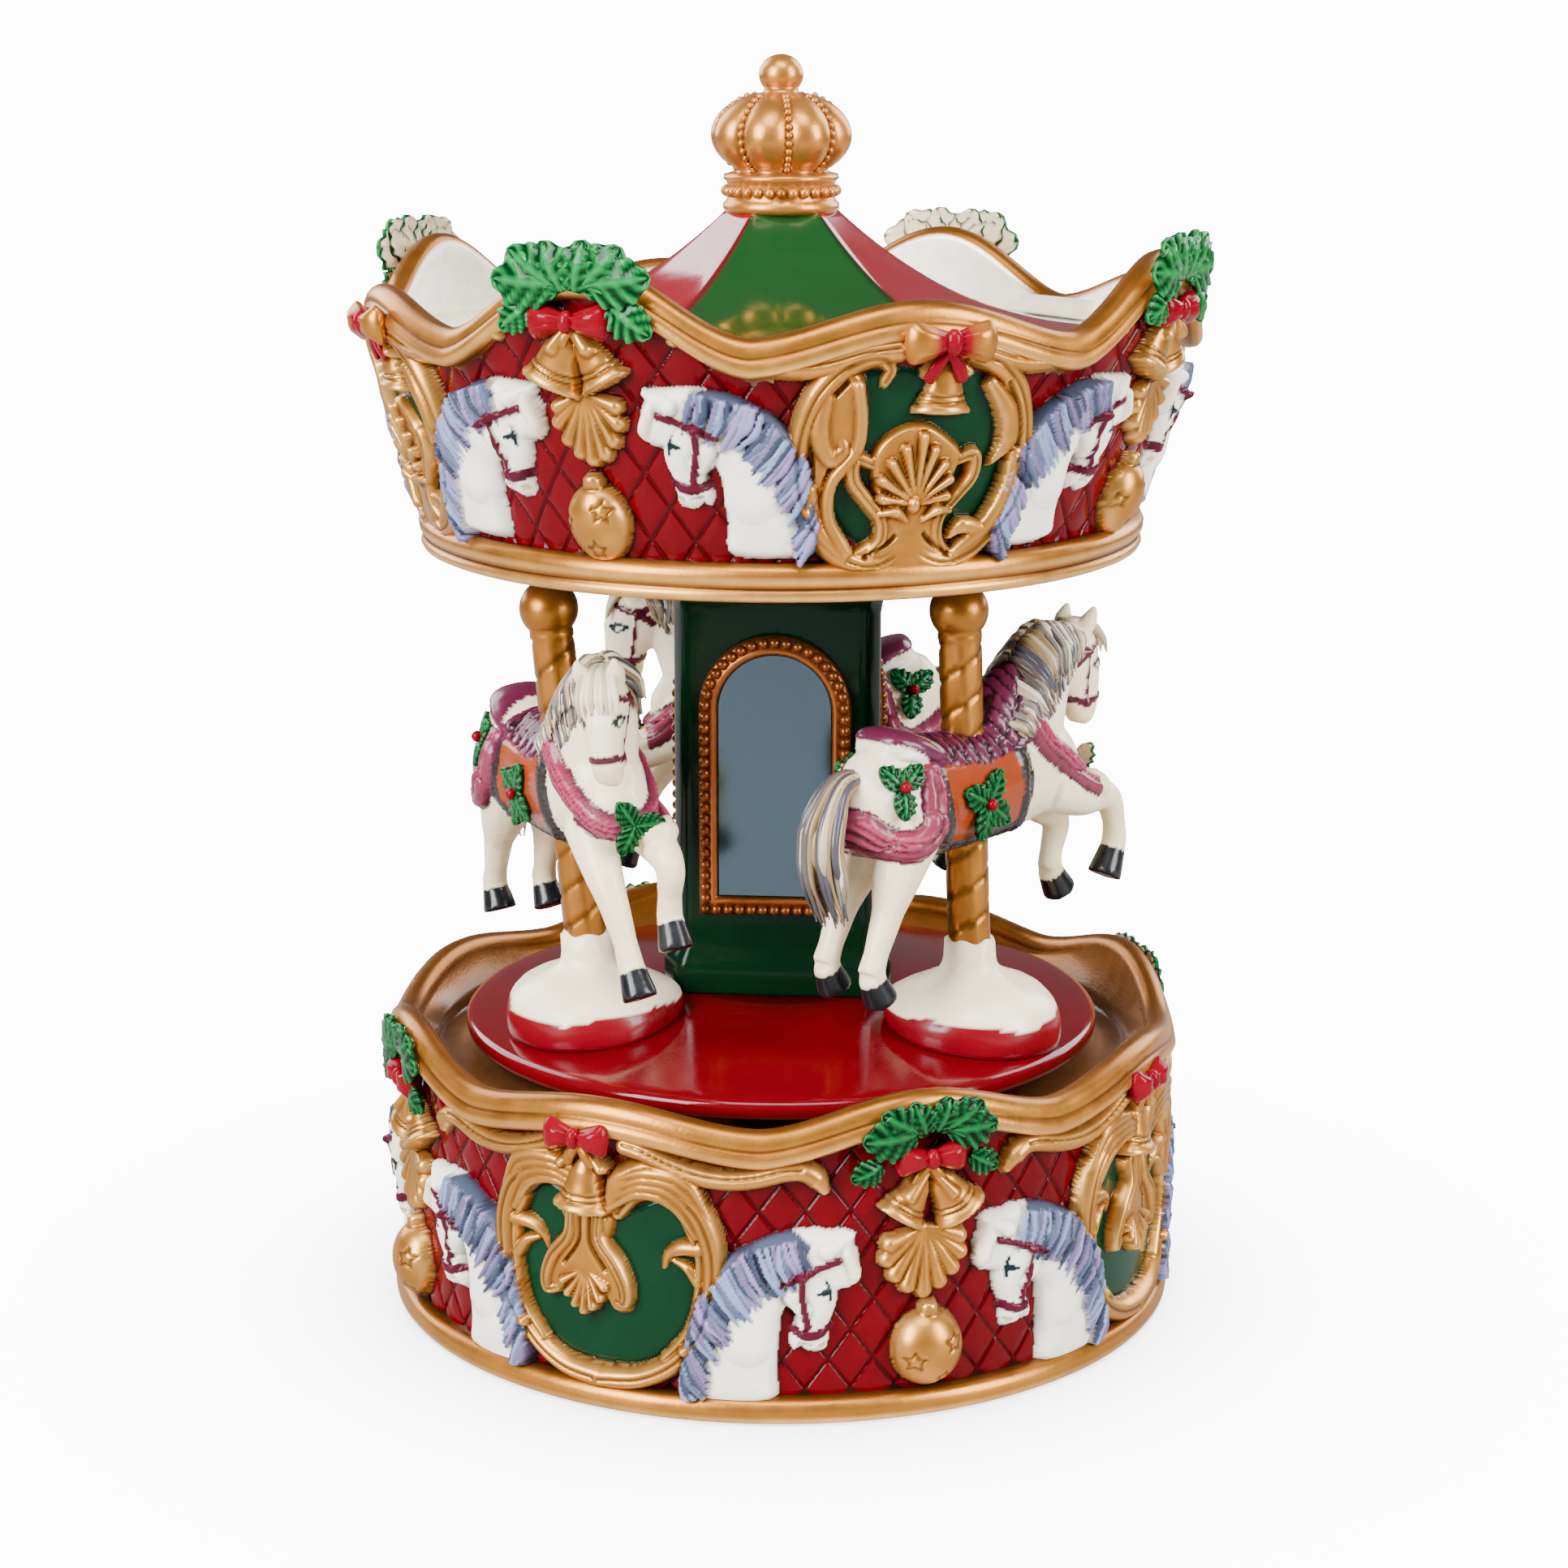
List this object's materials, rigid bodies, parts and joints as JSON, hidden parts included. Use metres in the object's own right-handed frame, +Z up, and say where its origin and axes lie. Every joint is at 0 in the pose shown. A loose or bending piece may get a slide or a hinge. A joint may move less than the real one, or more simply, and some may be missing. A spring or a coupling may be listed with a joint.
{
  "type": "carousel music box",
  "caption": "Wind-up carousel music box: jumping horses on poles round a mirrored column turn under a scalloped canopy with a crown, on a drum base that holds the movement.",
  "frame": {"origin": "on the spin axis, in the plane of the foot that the base stands on", "axes": "+Z up along the spin axis; -Y is the front of the picture, and a column mirror faces close to it"},
  "size_m": [0.1256, 0.1256, 0.19],
  "materials": {
    "crimson_lacquer": "gloss painted resin",
    "green_lacquer": "gloss painted resin",
    "antique_gold": "satin gold paint on resin",
    "ivory_enamel": "semi-gloss painted resin",
    "mirror_glass": "polished",
    "backing_board": "matt",
    "movement_steel": "plated",
    "movement_brass": "turned",
    "nylon": "moulded"
  },
  "bodies": {
    "base": {"base_drum": "crimson_lacquer", "base_plate": "backing_board", "base_plate_screws": "movement_steel", "bedplate_screws": "movement_steel", "movement_bedplate": "movement_steel", "spring_barrel": "movement_steel", "mainspring": "movement_steel", "cylinder_brackets": "movement_steel", "comb": "movement_steel", "comb_block": "movement_steel", "comb_screws": "movement_steel", "governor_bracket": "movement_steel", "deck_bush": "movement_brass", "thrust_washer": "nylon", "base_cartouches": "antique_gold", "base_horse_heads": "ivory_enamel", "base_sprays": "antique_gold", "base_balls": "antique_gold"},
    "carousel": {"great_wheel": "movement_brass", "clutch_spring": "movement_steel", "main_shaft": "movement_steel", "turntable": "crimson_lacquer", "column": "green_lacquer", "mirror_front": "mirror_glass", "mirror_frame_front": "antique_gold", "mirror_right": "mirror_glass", "mirror_frame_right": "antique_gold", "mirror_left": "mirror_glass", "mirror_frame_left": "antique_gold", "horse_left": "ivory_enamel", "pole_left": "antique_gold", "mound_left": "ivory_enamel", "horse_right": "ivory_enamel", "pole_right": "antique_gold", "mound_right": "ivory_enamel", "horse_back": "ivory_enamel", "pole_back": "antique_gold", "mound_back": "ivory_enamel", "canopy_ceiling": "backing_board", "ceiling_nut": "movement_steel", "canopy_valance": "crimson_lacquer", "canopy_roof": "green_lacquer", "crown_finial": "antique_gold", "canopy_cartouches": "antique_gold", "canopy_horse_heads": "ivory_enamel", "canopy_sprays": "antique_gold", "canopy_balls": "antique_gold"},
    "key": {"spring_arbor": "movement_steel", "winding_key": "movement_brass"},
    "cylinder": {"cylinder_arbor": "movement_steel", "cylinder_pinion": "movement_brass", "cylinder_gear": "movement_brass", "pin_cylinder": "movement_brass"},
    "governor": {"governor_arbor": "movement_steel", "worm_wheel": "movement_brass"},
    "fan": {"governor_worm": "movement_steel", "governor_fan": "nylon"}
  },
  "joints": [
    {"name": "carousel_spin", "type": "hinge", "parent": "base", "child": "carousel", "pos_m": [0, 0, 0.0445], "axis": [0, 0, 1], "continuous": true},
    {"name": "key_wind", "type": "hinge", "parent": "carousel", "child": "key", "pos_m": [0, 0, 0.006], "axis": [0, 0, 1], "range_deg": [0, 2160]},
    {"name": "cylinder_turn", "type": "hinge", "parent": "base", "child": "cylinder", "pos_m": [0.0183, 0, 0.02353], "axis": [1, 0, 0], "continuous": true},
    {"name": "governor_wheel_turn", "type": "hinge", "parent": "base", "child": "governor", "pos_m": [0.04142, 0.008, 0.02353], "axis": [1, 0, 0], "continuous": true},
    {"name": "fan_spin", "type": "hinge", "parent": "base", "child": "fan", "pos_m": [0.04142, 0.01494, 0.02353], "axis": [0, 0, 1], "continuous": true}
  ],
  "couplings": [
    {"joint": "cylinder_turn", "follows": "carousel_spin", "ratio": -2.5},
    {"joint": "governor_wheel_turn", "follows": "carousel_spin", "ratio": 7.5},
    {"joint": "fan_spin", "follows": "carousel_spin", "ratio": -180}
  ]
}
